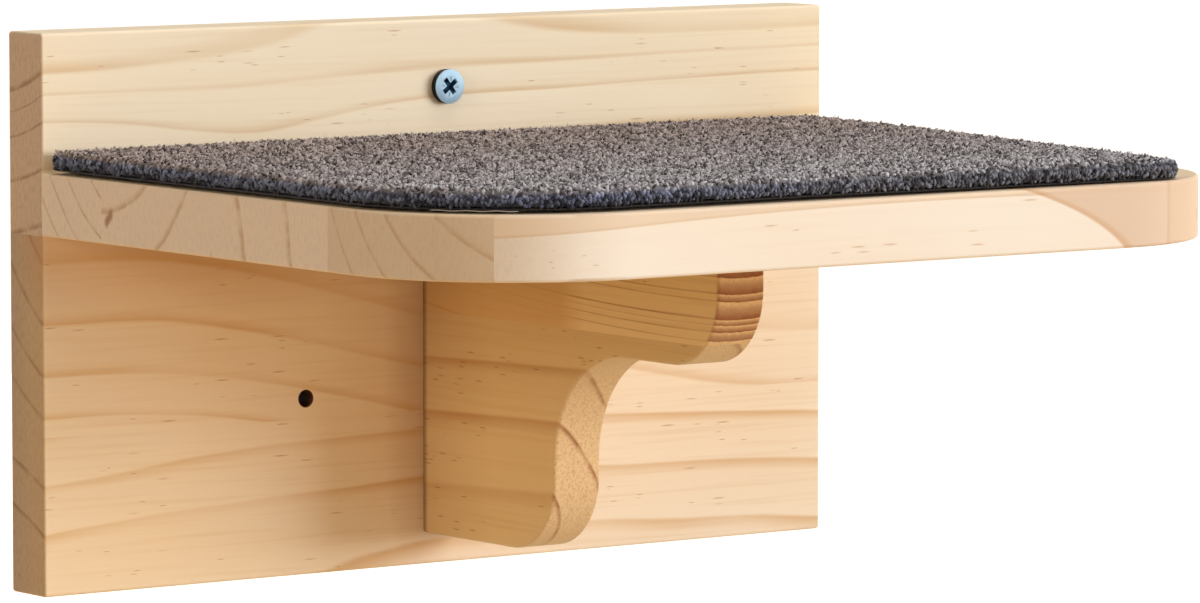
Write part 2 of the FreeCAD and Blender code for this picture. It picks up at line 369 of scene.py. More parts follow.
def pine(name, pith, years, grain="X", lean=(0, 0), sweep=0, oval=1, wander=3.0, swirls=(), marks=(),
         spring=SPRING, flush=FLUSH, autumn=AUTUMN, lines=SOFT_LINES, streaks=0.3, canals=0.33, resin=RESIN,
         end_spring=END_SPRING, end_autumn=END_AUTUMN, end_lines=THIN_LINES, faintest=0.35, scratch=0.4,
         grit=0.28):
    """Sanded pine of one log. pith is where the log's middle passes, in mm across the grain, and years are
    the radii in mm at which each year's growth stopped. lean and sweep tilt and bow the log, swirls are
    pushes round hidden knots, and marks are spots such as a hole's painted shade: place, reach, core,
    strength and tint. On the ends, faintest is how weak a ring gets in places, and scratch how short the saw
    marks are."""
    material, tree, surface = new_finish("sanded_pine_" + name, {"Specular IOR Level": 0.22})
    seed = sum(ord(letter) for letter in name)
    place = add(tree, "ShaderNodeTexCoord")
    in_mm = add(tree, "ShaderNodeVectorMath", {0: place.outputs["Object"], "Scale": 1 / MM},
                operation="SCALE").outputs[0]
    axes = add(tree, "ShaderNodeSeparateXYZ", {0: in_mm})
    along, side = (axes.outputs[0], axes.outputs[1]) if grain == "X" else (axes.outputs[1], axes.outputs[0])
    rise = axes.outputs[2]
    log = add(tree, "ShaderNodeCombineXYZ", {0: along, 1: side, 2: rise}).outputs[0]

    fibres = grown(tree, log, FIBRE, detail=4, seed=seed)
    waves = grown(tree, log, WAVE, detail=2, seed=seed + 1)
    flushes = grown(tree, log, FLUSH_PATCH, detail=1, seed=seed + 3)
    strengths = grown(tree, log, STRONG_PATCH, detail=1, seed=seed + 4)
    breaks = grown(tree, log, BROKEN_PATCH, detail=2, seed=seed + 5)
    radius = from_pith(tree, along, side, rise, pith, lean, sweep, oval)
    radius = pushed(tree, radius, log, rise, [(waves, wander), (fibres, RAGGED)], swirls)

    # Long faces, where the rings are stronger here and there
    strong = add(tree, "ShaderNodeMapRange", {0: strengths, 1: STRONG[0], 2: STRONG[1], 3: WEAKEST_RING,
                                              4: 1})
    streak = add(tree, "ShaderNodeMapRange", {0: fibres, 1: STREAKED[0], 2: STREAKED[1], 3: 0, 4: streaks})
    face = painted(tree, linear(spring), [
        (flushes, linear(flush)),
        (rings(tree, radius, years, lines, strong.outputs[0]), linear(autumn)),
        (streak.outputs[0], linear(autumn)),
        (resin_dashes(tree, log, canals, seed), linear(resin))])

    # Ends, with broken rings and saw scratches
    sawn = add(tree, "ShaderNodeMapping", {0: log, "Scale": (SCRATCHES_PER_MM, SCRATCHES_PER_MM, scratch)})
    specks = add(tree, "ShaderNodeTexNoise", {"Vector": sawn.outputs[0], "Scale": 1, "Detail": 3,
                                              "Roughness": 0.7})
    speckle = add(tree, "ShaderNodeMapRange", {0: specks.outputs["Fac"], 1: SPECKLED[0], 2: SPECKLED[1],
                                               3: 0, 4: grit})
    broken = add(tree, "ShaderNodeMapRange", {0: breaks, 1: STRONG[0], 2: STRONG[1], 3: faintest, 4: 1})
    cut = painted(tree, linear(end_spring), [
        (rings(tree, radius, years, end_lines, broken.outputs[0]), linear(end_autumn)),
        (speckle.outputs[0], linear(end_autumn))])
    facing = add(tree, "ShaderNodeSeparateXYZ", {0: place.outputs["Normal"]})
    end_on = add(tree, "ShaderNodeMath", {0: facing.outputs["XYZ".index(grain)]}, operation="ABSOLUTE")
    end = add(tree, "ShaderNodeMapRange", {0: end_on.outputs[0], 1: TURNED_TO_GRAIN[0],
                                           2: TURNED_TO_GRAIN[1]})

    layers = [(end.outputs[0], cut)]
    for centre, reach, core, share, tint in marks:
        spot = add(tree, "ShaderNodeMapRange", {0: off_centre(tree, in_mm, centre, reach), 1: 1, 2: core,
                                                3: 0, 4: share})
        layers.append((spot.outputs[0], linear(tint)))
    tree.links.new(painted(tree, face, layers), surface.inputs["Base Color"])
    dull = add(tree, "ShaderNodeMapRange", {0: fibres, 3: 0.5, 4: 0.68})
    tree.links.new(dull.outputs[0], surface.inputs["Roughness"])
    relief = add(tree, "ShaderNodeBump", {"Height": fibres, "Strength": 0.2, "Distance": RELIEF})
    tree.links.new(relief.outputs[0], surface.inputs["Normal"])
    return material


def stave(name, **log):
    """Finishes a packed stave as pine from its own log."""
    finish(nodes[name], pine(name, **log))


# %% [markdown]
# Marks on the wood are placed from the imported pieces, in millimetres: the left end and the front of the
# wall board, the shelf's two faces, the wall screw's axis, and the two lower wall holes, which are a mount.

# %% Places on the wood
screw_low, screw_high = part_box("wall_screw")
axis = (screw_low + screw_high) / 2
board_left, board_front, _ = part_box("board_stave_2")[0] / MM
shelf_under, shelf_top = [corner.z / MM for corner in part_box("shelf_stave_3")]
mounts = {mount["name"]: mount for mount in frame["record"]["mounts"]}
lower_holes = mounts["lower_wall_holes"]
holes_height = lower_holes["pos_m"][2] / MM
holes_out = lower_holes["dims"]["spacing_x_mm"] / 2
hole_radius = lower_holes["dims"]["hole_r_mm"]
print("board front", round(board_front, 1), "shelf", round(shelf_under, 1), "to", round(shelf_top, 1), "mm")

# %% [markdown]
# The wall board is three staves glued edge to edge. On its left end the rings rise towards the front in
# the top stave and fall in the other two. The top one has a long dip to the left of the screw, where the
# tree grew round a knot, and in the middle one the rings run level, then fall towards the right. Its three
# wall holes are painted dark inside, as shade in the bores. On the front, shade is painted under the shelf
# and beside the bracket, where the wood is drawn warmer and darker, and towards the lower left a golden
# cast of warm bounced light is painted. These painted marks fade out before the board's back.

# %% Wall board
PAINTED_HOLE_SHADE = "#54301A"
HOLE_SHADE_REACH = 0.2
HOLE_CORE = 0.93
UPPER_END = {"end_spring": "#D0B89F", "end_autumn": "#9A7654", "grit": 0.4}
LOWER_END = {"end_spring": "#BAA288", "end_autumn": "#876446", "grit": 0.4}
# Painted shade inside the three wall holes: the bores are drawn dark brown.
hole_reach = (hole_radius + HOLE_SHADE_REACH, ALL, hole_radius + HOLE_SHADE_REACH)
upper_hole_shade, left_hole_shade, right_hole_shade = [(hole, hole_reach, HOLE_CORE, 1, PAINTED_HOLE_SHADE) for hole in (
    axis / MM, (-holes_out, 0, holes_height), (holes_out, 0, holes_height))]
# Painted warm light towards the lower left, and painted shade beside the bracket and under the shelf.
painted_golden_light_left = ((board_left, board_front, -30), (135, 17, 135), 0.4, 0.15, "#FFCE6E")
painted_shade_beside_bracket = [((0, board_front, -20), (46, 17, 95), 0.2, 0.24, "#B5763A"),
                  ((-8, board_front, -28), (15, 17, 72), 0.3, 0.32, "#96601F")]
painted_shade_under_shelf = ((-85, board_front, shelf_under), (115, 17, 27), 0.2, 0.42, "#B46A1E")
stave(
    "board_stave_1", pith=(12, 129), years=[48, 64.5, 69.8, 77.1, 90, 105, 120], lean=(0, 0.02), wander=1.5,
    swirls=[(-65, 75, 66, 48.6, -6.5), (-20, 120, 66, 81, 9)], spring="#FCEED4", flush="#F8E3C0",
    autumn="#E3C294", marks=[upper_hole_shade], **UPPER_END)
stave(
    "board_stave_2", pith=(-73, 71), years=[20, 44, 65, 79.5, 92.4, 104.7, 115.1, 130], wander=1.5,
    swirls=[(140, 260, -200, -199, -41)], autumn="#E2BE90", streaks=0.45,
    marks=[painted_golden_light_left, *painted_shade_beside_bracket, painted_shade_under_shelf, left_hole_shade, right_hole_shade], **LOWER_END)
stave(
    "board_stave_3", pith=(31, -129.5), years=[46, 60, 75.1, 89.6, 102.5, 116], lean=(0, 0.0136),
    sweep=-0.000336, swirls=[(-140, 200, -66, -80, 10)], autumn="#E0BA8A", streaks=0.45,
    marks=[painted_golden_light_left, *painted_shade_beside_bracket], **LOWER_END)

# %% [markdown]
# The shelf is five staves. Their ends show along its left edge, each with rings at another angle. One of
# them was cut through a resin pocket, which left a small brown spot near the back. The front one was sawn
# nearly along its rings, so instead of lines it shows a few long ovals, which are drawn as marks. The
# shelf's edges were eased with sandpaper, and a thin paler line is painted along them as a highlight where
# they catch the light.

# %% Shelf
# Painted highlight: a paler band at the height of the shelf's top and under faces, along their edges.
painted_edge_highlights = [((0, 0, shelf_top), (ALL, ALL, 0.9), 0, 0.55, "#F8DEB4"),
           ((0, 0, shelf_under), (ALL, ALL, 0.7), 0, 0.5, "#F3D3A2")]
resin_pocket = [((board_left, -54 + step, 30.5 - step), (4, 1.5, 2.1), 0.35, 0.7, "#9A6240")
                for step in (-1.1, 0, 1.1)]


def beyond(centre, reach, width, line, tint, share=0.7):
    """Marks for the wood outside a long oval: a thin dark line where it begins, then another tint."""
    farther = [r * (1 + width) for r in reach]
    return [(centre, reach, 1 + width / 2, share, line), (centre, farther, 1 + width, share, tint)]


stave(
    "shelf_stave_1", pith=(-212.2, 23), years=[-40, 300], wander=1, spring="#FDF4E6", flush="#FBEAD2",
    streaks=0.12, canals=0.25, resin="#D9B48C", marks=[
        *painted_edge_highlights,
        *beyond((20, 0, 0), (296.7, ALL, 39.4), 0.012, "#E2C49C", "#F4DEC4"),
        *beyond((-60, 0, 12.8), (148.9, ALL, 40.8), 0.015, "#D2A06C", "#EBD4BC"),
        *beyond((-98.5, 0, 0), (200, ALL, ALL), 0.006, "#CFA57A", "#F1D8B8", 0.35)])
stave(
    "shelf_stave_2", pith=(-253.3, 79.5), years=[50, 62.9, 75, 85, 95.5, 107], wander=1,
    spring="#F0DFC6", flush="#ECD3B0", end_spring="#DDC9B0", marks=painted_edge_highlights)
stave("shelf_stave_3", pith=(-63, 15), years=[20, 40, 63.3, 85.7, 107], marks=painted_edge_highlights)
stave("shelf_stave_4", pith=(-47, 71), years=[20, 40.2, 56.7, 78, 98], marks=painted_edge_highlights + resin_pocket)
stave("shelf_stave_5", pith=(-77, 73), years=[30, 38, 47.2, 56.6, 64, 70.9, 80], marks=painted_edge_highlights)

# %% [markdown]
# The bracket is two staves with the grain running out from the wall, so the noses show end grain.
# The arm's stave grew slowly, with broad dark rings that stripe its nose and fade out towards the wall.
# Where the bracket meets the board, shade is painted on: the wood is darker there, with a hairline of
# painted shade in the corner.

# %% Bracket
CORNER_SHADE_BROWN = "#5E3C1E"
at_board = (0, board_front, 0)
# Painted shade near the board, and a dark painted hairline of shade in the corner.
corner_shade = [(at_board, (ALL, 36, ALL), 0, 0.3, "#8F5A2C"),
                (at_board, (ALL, 2.4, ALL), 0, 0.8, CORNER_SHADE_BROWN)]
quiet_end = (at_board, (ALL, 82, ALL), 0.85, 0.8, "#DAB076")
stave(
    "bracket_foot_stave", pith=(-25.2, -80.66), years=[15, 33.4, 51.1, 65.8, 81, 96], grain="Y",
    lean=(0, -0.03), oval=1.31, wander=1, spring="#E2C692", flush="#DCBB84", autumn="#C08F5A", canals=1.0,
    resin="#8E5829", marks=corner_shade, end_spring="#E8C796", end_autumn="#9A5E36", scratch=1.3, grit=0.42)
stave(
    "bracket_arm_stave", pith=(0, 83.2), years=[50, 57.9, 62.5, 64.5, 69.7, 71.3, 73.2, 75.8, 84, 92],
    grain="Y", lean=(0, 0.15), sweep=0.0005, wander=0.6, spring="#F4DAA6", flush="#EED098",
    autumn="#AC7A48", lines=THIN_LINES, resin="#8E5829", marks=[quiet_end, *corner_shade],
    end_spring="#F2C98E", end_autumn="#8E4C24", end_lines=BROAD_BANDS, faintest=0.9, scratch=1.3)

# %% [markdown]
# Zinc-plated steel. The screws are dipped in a bath that leaves a thin bright layer with a cool blue cast,
# so they never look like polished chrome: its fine crystals scatter about half of the light and mirror the
# rest. On the wall screw, shade is painted where it falls: the cross recess is painted dark blue, and the
# side of its head nearly black.

# %% Zinc finish
ZINC = "#B4DCF6"
ZINC_GREY = "#C0DAEA"
# Painted shade on the wall screw: dark blue in the recess, nearly black on the head's side.
RECESS_SHADE = "#1D4560"
HEAD_SIDE_SHADE = "#0E0C0C"
DULL_CLOUD = 2 * MM
SHADE_STARTS = 0.12 * MM
SHADE_FULL = 0.4 * MM
SHADE_ENDS = 3.0 * MM
SHADE_FADES = 1.0 * MM
SIDE_SHADE_WIDTH = 0.1 * MM


def painted_screw_shade(tree, spot, axis, face, side):
    """Layers of painted shade on a screw, by the depth below its face and, for the nearly black side, the
    radius beyond side.
    """
    from_axis = add(tree, "ShaderNodeMapping", {0: spot, "Location": (-axis[0], 0, -axis[1]),
                                                "Scale": (1, 0, 1)})
    out = add(tree, "ShaderNodeVectorMath", {0: from_axis.outputs[0]}, operation="LENGTH")
    axes = add(tree, "ShaderNodeSeparateXYZ", {0: spot})
    last = face + SHADE_ENDS
    shade_stops = add(tree, "ShaderNodeMapRange", {0: axes.outputs[1], 1: last, 2: last + SHADE_FADES, 3: 1, 4: 0})
    below = add(tree, "ShaderNodeMapRange", {0: axes.outputs[1], 1: face + SHADE_STARTS, 2: face + SHADE_FULL,
                                             3: 0, 4: shade_stops.outputs[0]})
    outer = add(tree, "ShaderNodeMapRange", {0: out.outputs["Value"], 1: side - SIDE_SHADE_WIDTH, 2: side})
    painted_side_shade = add(tree, "ShaderNodeMath", {0: below.outputs[0], 1: outer.outputs[0]}, operation="MULTIPLY")
    return [(below.outputs[0], linear(RECESS_SHADE)), (painted_side_shade.outputs[0], linear(HEAD_SIDE_SHADE))]


def zinc(name, axis=None, face=None, side=None):
    """Bright zinc plating with dull clouds. A screw with an axis and a face, in metres, gets painted shade
    from
    just below that face down to the board: dark blue, and nearly black beyond a radius. Its shank is left
    bright."""
    material, tree, surface = new_finish(name, {"Metallic": 0.5})
    spot = add(tree, "ShaderNodeTexCoord").outputs["Object"]
    clouds = add(tree, "ShaderNodeTexNoise", {"Vector": spot, "Scale": 1 / DULL_CLOUD, "Detail": 3})
    layers = [(clouds.outputs["Fac"], linear(ZINC_GREY))]
    if axis:
        layers += painted_screw_shade(tree, spot, axis, face, side)
    tree.links.new(painted(tree, linear(ZINC), layers), surface.inputs["Base Color"])
    worn = add(tree, "ShaderNodeMapRange", {0: clouds.outputs["Fac"], 3: 0.3, 4: 0.5})
    tree.links.new(worn.outputs[0], surface.inputs["Roughness"])
    return material


hidden_zinc = zinc("zinc_plated_steel")
for name in nodes:
    if "screw" in name and name != "wall_screw":
        finish(nodes[name], hidden_zinc)

# %% [markdown]
# The wall screw and the mat are modelled again, with three short helpers: one picks a piece, one turns its
# faces outwards, and one joins it with another piece or cuts it by that.


# %% Helpers for shaping
def select_only(piece):
    """Makes a piece the only one that the next operators act on."""
    bpy.ops.object.select_all(action="DESELECT")
    piece.select_set(True)
    bpy.context.view_layer.objects.active = piece


def close_shape():
    """Turns the faces of the shape in edit mode outwards, and leaves edit mode."""
    bpy.ops.mesh.select_all(action="SELECT")
    bpy.ops.mesh.normals_make_consistent(inside=False)
    bpy.ops.object.mode_set(mode="OBJECT")


def combine(piece, tool, way):
    """Joins or cuts a piece with a tool, which is used up."""
    select_only(piece)
    step = piece.modifiers.new("combine", "BOOLEAN")
    step.operation = way
    step.object = tool
    bpy.ops.object.modifier_apply(modifier="combine")
    bpy.data.objects.remove(tool)
    print(piece.name, way.lower(), len(piece.data.polygons), "faces")


# %% [markdown]
# The wall screw is a countersunk one that stands proud of the board. Its head and shank are drawn by
# pushing a disc back ring by ring, as a lathe would turn them. The head's radius, its face and the point
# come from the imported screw's box.

# %% Turned head and shank
head_radius = (screw_high.x - screw_low.x) / 2
face_y = screw_low.y
tip_y = screw_high.y
EDGE = 0.2 * MM
EDGE_MIDDLE = 0.06 * MM
RIM = 2.3 * MM
CORE = 1.75 * MM
CREST = 2.5 * MM
COUNTERSINK = 0.5 * MM
NECK_STEP = 0.7 * MM
NECK_TAPER = 2 * MM
POINT = 6.0 * MM
POINT_RADIUS = 0.15 * MM
HEAD_SIDES = 64
neck_depth = COUNTERSINK + head_radius - CREST
core_depth = neck_depth + NECK_TAPER
point_y = tip_y - POINT

# The turned form, from the face to the point, as radius and depth of each ring
rings_turned = [
    (head_radius - EDGE, 0), (head_radius - EDGE_MIDDLE, EDGE_MIDDLE), (head_radius, EDGE),
    (head_radius, RIM), (CREST + NECK_STEP, neck_depth - NECK_STEP), (CREST, neck_depth),
    (CORE, core_depth), (CORE, point_y - face_y), (POINT_RADIUS, tip_y - face_y)]
first_radius = rings_turned[0][0]
bpy.ops.mesh.primitive_circle_add(vertices=HEAD_SIDES, radius=first_radius, fill_type="NGON",
                                  location=(axis.x, face_y, axis.z), rotation=(math.pi / 2, 0, 0))
wall_screw = bpy.context.object
wall_screw.name = "wall_screw_zinc"
bpy.ops.object.transform_apply(location=True, rotation=True)
bpy.ops.object.mode_set(mode="EDIT")
for (radius, depth), (next_radius, next_depth) in zip(rings_turned, rings_turned[1:]):
    bpy.ops.mesh.extrude_region_move(TRANSFORM_OT_translate={"value": (0, next_depth - depth, 0)})
    ratio = next_radius / radius
    bpy.ops.transform.resize(value=(ratio, 1, ratio), center_override=(axis.x, face_y + next_depth, axis.z))
close_shape()
print("head", round(2 * head_radius / MM, 1), "mm across, screw", round((tip_y - face_y) / MM, 1), "mm long")

# %% [markdown]
# The driver's cross is cut out with two crossed wedges that narrow with depth. Short ticks are pressed
# between its arms, as on screws for a driver with small ribs there.

# %% Cross recess and ticks
CROSS_TURN = 7
CROSS_SPAN = 6.5 * MM
CROSS_FLOOR = 2.6 * MM
CROSS_WING = 1.55 * MM
CROSS_DEPTH = 1.6 * MM
ABOVE = 0.3 * MM
TICK_PLACE = 2.35 * MM
TICK_SIZE = (1.2 * MM, 0.36 * MM, 0.5 * MM)
for angle in (45, 135):
    turn = math.radians(angle + CROSS_TURN)
    wedge_middle = (axis.x, face_y + (CROSS_DEPTH - ABOVE) / 2, axis.z)
    bpy.ops.mesh.primitive_cube_add(size=1, location=wedge_middle, rotation=(0, turn, 0),
                                    scale=(CROSS_SPAN, CROSS_DEPTH + ABOVE, CROSS_WING))
    wedge = bpy.context.object
    for corner in wedge.data.vertices:
        if corner.co.y > 0:
            corner.co.x *= CROSS_FLOOR / CROSS_SPAN
    combine(wall_screw, wedge, "DIFFERENCE")
for angle in (0, 90, 180, 270):
    turn = math.radians(angle - CROSS_TURN)
    spot = (axis.x + TICK_PLACE * math.cos(turn), face_y, axis.z + TICK_PLACE * math.sin(turn))
    bpy.ops.mesh.primitive_cube_add(size=1, location=spot, rotation=(0, -turn, 0), scale=TICK_SIZE)
    combine(wall_screw, bpy.context.object, "DIFFERENCE")

# %% [markdown]
# The thread is a small triangle, reaching from inside the core to the crest, that the Screw modifier winds
# round the shank. Near the point it is drawn in to the axis. Its open ends are filled, and a union with the
# shank makes the screw one closed piece.

# %% Thread
PITCH = 2.2 * MM
ROOT = CORE - 0.3 * MM
TOOTH_HALF = 0.55 * MM
THREAD_SHORT = 3 * MM
STEPS_PER_TURN = 28
LEAST_DRAWN_IN = 0.12
turns = (tip_y - face_y - neck_depth - THREAD_SHORT) / PITCH
bpy.ops.mesh.primitive_circle_add(vertices=3, radius=1, location=(0, 0, 0))
thread = bpy.context.object
for corner, (out, up) in zip(thread.data.vertices, [(ROOT, -TOOTH_HALF), (CREST, 0), (ROOT, TOOTH_HALF)]):
    corner.co = (out, up, 0)
winding = thread.modifiers.new("winding", "SCREW")
winding.axis = "Y"
winding.angle = 2 * math.pi * turns
winding.screw_offset = PITCH * turns
winding.steps = round(STEPS_PER_TURN * turns)
winding.render_steps = winding.steps
winding.use_merge_vertices = False
bpy.ops.object.modifier_apply(modifier="winding")
for corner in thread.data.vertices:
    y = face_y + core_depth + corner.co.y
    drawn_in = min(1, max(LEAST_DRAWN_IN, (tip_y - y) / POINT))
    corner.co = (axis.x + corner.co.x * drawn_in, y, axis.z + corner.co.z * drawn_in)
bpy.ops.object.mode_set(mode="EDIT")
bpy.ops.mesh.select_all(action="DESELECT")
bpy.ops.mesh.select_non_manifold()
bpy.ops.mesh.fill()
close_shape()
combine(wall_screw, thread, "UNION")
select_only(wall_screw)
bpy.ops.object.shade_smooth_by_angle(angle=math.radians(35))
print("thread of", round(turns, 1), "turns")

# %% [markdown]
# The screw gets its zinc, with painted shade below the face. It is fixed to the step's one body and takes
# the place of the imported screw, which has neither thread nor cross.

# %% Zinc on the wall screw
finish(wall_screw, zinc(
    "zinc_plated_steel_wall_screw", (axis.x, axis.z), face_y, head_radius - SIDE_SHADE_WIDTH))
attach(wall_screw, "root")
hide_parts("wall_screw")
print("wall screw:", len(wall_screw.data.polygons), "faces")

# %% [markdown]
# Double-sided tape holds the mat on the shelf. It is a cream film with a paper-like tooth, and only its
# edges could ever be seen, far back in the gap under the mat.

# %% Tape finish
PAPER_TOOTH = 0.8 * MM
tape, tree, surface = new_finish("double_sided_film_tape", {"Roughness": 0.55})
place = add(tree, "ShaderNodeTexCoord")
tooth = add(tree, "ShaderNodeTexNoise", {"Vector": place.outputs["Object"], "Scale": 1 / PAPER_TOOTH,
                                         "Detail": 2})
tape_tone = painted(tree, linear("#C9BFA8"), [(tooth.outputs["Fac"], linear("#B3A88F"))])
tree.links.new(tape_tone, surface.inputs["Base Color"])
for name in nodes:
    if name.startswith("mat_tape"):
        finish(nodes[name], tape)

# %% [markdown]
# The mat is needle-felt carpet: loose grey, brown and black fibres punched into a dark latex backing. From
# low down its surface isn't flat: fibre bundles about a millimetre wide lean every way, the pale ones catch
# the light and the gaps are dark. Its cut edge shows the fibres standing side by side, cooler and darker,
# and on the left darkest at the base. So the body is a thick felt plate with lumps, and bundles of fibre
# are scattered over it. Each bundle has a shade of its own, which the finish reads from an attribute, and
# a tint by its place on the mat.

# %% Felt finish
FELT_SHADES = [(0.0, "#3A3536"), (0.2, "#625C5C"), (0.5, "#AFA9A8"), (0.8, "#CFCBCB"), (1.0, "#E3E1E2")]
CUT_EDGE_LEFT = "#A8BAE0"
CUT_EDGE_RIGHT = "#A0A7B6"
CUT_EDGE_BASE = "#4A5268"
BASE_SHARE = 0.8
TOP_FRONT = "#F8FAFF"
TOP_BACK = "#E8DAD2"
# Places between which one tint turns into the next: below the top, along the width and towards the wall
TOP_TO_EDGE = (0.3 * MM, 1.8 * MM)
LEFT_TO_RIGHT = (-100 * MM, 0)
FRONT_TO_BACK = (-210 * MM, -60 * MM)
pile_low, pile_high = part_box("carpet_pile")
felt, tree, surface = new_finish("needle_felt_carpet", {
    "Roughness": 0.95, "Specular IOR Level": 0.1, "Sheen Weight": 0.15})
place = add(tree, "ShaderNodeTexCoord")
axes = add(tree, "ShaderNodeSeparateXYZ", {0: place.outputs["Object"]})
bundle = add(tree, "ShaderNodeAttribute", attribute_name="shade")
shades = add(tree, "ShaderNodeValToRGB", {0: bundle.outputs["Fac"]},
             stops=[(share, linear(code)) for share, code in FELT_SHADES])
depth = add(tree, "ShaderNodeMapRange", {0: axes.outputs[2], 1: pile_high.z - TOP_TO_EDGE[0],
                                         2: pile_high.z - TOP_TO_EDGE[1]})
to_right = add(tree, "ShaderNodeMapRange", {0: axes.outputs[0], 1: LEFT_TO_RIGHT[0], 2: LEFT_TO_RIGHT[1]})
to_base = add(tree, "ShaderNodeMapRange", {0: axes.outputs[2], 1: pile_high.z - TOP_TO_EDGE[1],
                                           2: pile_low.z, 3: 0, 4: BASE_SHARE})
edge_tint = painted(tree, linear(CUT_EDGE_LEFT), [(to_base.outputs[0], linear(CUT_EDGE_BASE)),
                                                  (to_right.outputs[0], linear(CUT_EDGE_RIGHT))])
to_back = add(tree, "ShaderNodeMapRange", {0: axes.outputs[1], 1: FRONT_TO_BACK[0], 2: FRONT_TO_BACK[1]})
top_tint = painted(tree, linear(TOP_FRONT), [(to_back.outputs[0], linear(TOP_BACK))])
tint = painted(tree, top_tint, [(depth.outputs[0], edge_tint)])
tinted = add(tree, "ShaderNodeMix", {0: 1.0, 6: shades.outputs[0], 7: tint}, data_type="RGBA",
             blend_type="MULTIPLY")
tree.links.new(tinted.outputs[2], surface.inputs["Base Color"])
print("felt of", len(FELT_SHADES), "shades")

# %% [markdown]
# Felt and backing share one outline, so one function cuts both: a plane at the mat's size, with its front
# right corner moved in, its corners bevelled round and the whole pulled up to a plate. Its right edge runs
# in at a slant, as in the photograph.

# %% Outline of the mat
LEFT_ROUND = 52.5 * MM
RIGHT_ROUND = 6.0 * MM
BACK_ROUND = 3.0 * MM
LEFT_SEGMENTS = 24
RIGHT_SEGMENTS = 6
BACK_SEGMENTS = 4
SLANT = 24.1 * MM


def mat_plate(name, low, high):
    """A closed plate with the mat's outline: round at the front left, and slanted in along the right."""
    bpy.ops.object.select_all(action="DESELECT")
    middle = (low + high) / 2
    bpy.ops.mesh.primitive_plane_add(size=1, location=(middle.x, middle.y, low.z))
    plate = bpy.context.object
    plate.name = name
    plate.scale = (high.x - low.x, high.y - low.y, 1)
    bpy.ops.object.transform_apply(location=True, rotation=True, scale=True)
    front_right = Vector((high.x - SLANT, low.y, low.z))
    back_right = Vector((high.x, high.y, low.z))
    back_left = Vector((low.x, high.y, low.z))
    for corner in plate.data.vertices:
        if corner.co.x > middle.x and corner.co.y < middle.y:
            corner.co = front_right
    roundings = [(low, LEFT_ROUND, LEFT_SEGMENTS), (front_right, RIGHT_ROUND, RIGHT_SEGMENTS),
                 (back_right, BACK_ROUND, BACK_SEGMENTS), (back_left, BACK_ROUND, BACK_SEGMENTS)]
    for place, rounding, segments in roundings:
        bpy.ops.object.mode_set(mode="EDIT")
        bpy.ops.mesh.select_mode(type="VERT")
        bpy.ops.mesh.select_all(action="DESELECT")
        bpy.ops.object.mode_set(mode="OBJECT")
        for corner in plate.data.vertices:
            corner.select = (corner.co - place).length < MM
        bpy.ops.object.mode_set(mode="EDIT")
        bpy.ops.mesh.bevel(offset=rounding, segments=segments, affect="VERTICES", clamp_overlap=False)
        bpy.ops.object.mode_set(mode="OBJECT")
    bpy.ops.object.mode_set(mode="EDIT")
    bpy.ops.mesh.select_all(action="SELECT")
    bpy.ops.mesh.extrude_region_move(TRANSFORM_OT_translate={"value": (0, 0, high.z - low.z)})
    close_shape()
    print(name, "in mm:", [round(v / MM, 1) for v in plate.dimensions])
    return plate


# %% [markdown]
# A felt isn't a smooth plate. A remesh divides it finely, a smoothing rounds its edges and a displacement
# raises lumps. The mat also sags a little at its front right corner, because the tape stops short of it.

# %% Lumps and sag
SAG = 0.7 * MM
PRESSED = 0.7 * MM
SAG_ACROSS = 11 * MM
SAG_ALONG = 130 * MM


def roughen(piece, voxel, lump, height):
    """Divides a plate finely, rounds its edges and raises lumps of that width and height."""
    select_only(piece)
    grid = piece.modifiers.new("grid", "REMESH")
    grid.mode = "VOXEL"
    grid.voxel_size = voxel
    bpy.ops.object.modifier_apply(modifier="grid")
    soften = piece.modifiers.new("soften", "SMOOTH")
    soften.iterations = 2
    bpy.ops.object.modifier_apply(modifier="soften")
    lumps = bpy.data.textures.new(piece.name + "_lumps", "CLOUDS")
    lumps.noise_scale = lump
    raised = piece.modifiers.new("raised", "DISPLACE")
    raised.texture = lumps
    raised.strength = height
    bpy.ops.object.modifier_apply(modifier="raised")
    bpy.ops.object.shade_smooth()
    print(piece.name, len(piece.data.polygons), "faces")


def sag(piece):
    """Lets the mat's free edge sink, and thin a little, near its front right corner, outside the tape."""
    corner = Vector((pile_high.x - SLANT, pile_low.y))
    for point in piece.data.vertices:
        share_back = (point.co.y - pile_low.y) / (pile_high.y - pile_low.y)
        right_edge = corner.x + SLANT * share_back
        from_edge = min(point.co.y - pile_low.y, right_edge - point.co.x)
        across = min(1, max(0, 1 - from_edge / SAG_ACROSS))
        along = max(0, 1 - (point.co.xy - corner).length / SAG_ALONG)
        share_up = max(0, (point.co.z - pile_low.z) / (pile_high.z - pile_low.z))
        point.co.z -= (SAG + PRESSED * share_up) * along * across


# %% [markdown]
# The felt plate is cut a little smaller than the imported pile, because the bundles stand out from it. It
# is painted one darkish tone, as shade in the gaps between the bundles, since it shows only there.

# %% Felt plate
TUFT_SIDE = 0.6 * MM
TUFT_TOP = 0.4 * MM
GAP_SHADE_TONE = 0.3
felt_low = pile_low + Vector((TUFT_SIDE, TUFT_SIDE, 0))
felt_high = pile_high - Vector((TUFT_SIDE, TUFT_SIDE, TUFT_TOP))
carpet = mat_plate("carpet_felt", felt_low, felt_high)
roughen(carpet, voxel=1.3 * MM, lump=2.5 * MM, height=0.6 * MM)
sag(carpet)
# Painted shade: the felt plate is one darkish tone, as it shows only in the gaps between bundles.
painted_gap_shade = carpet.data.attributes.new("shade", "FLOAT", "POINT")
painted_gap_shade.data.foreach_set("value", [GAP_SHADE_TONE] * len(carpet.data.vertices))
finish(carpet, felt)

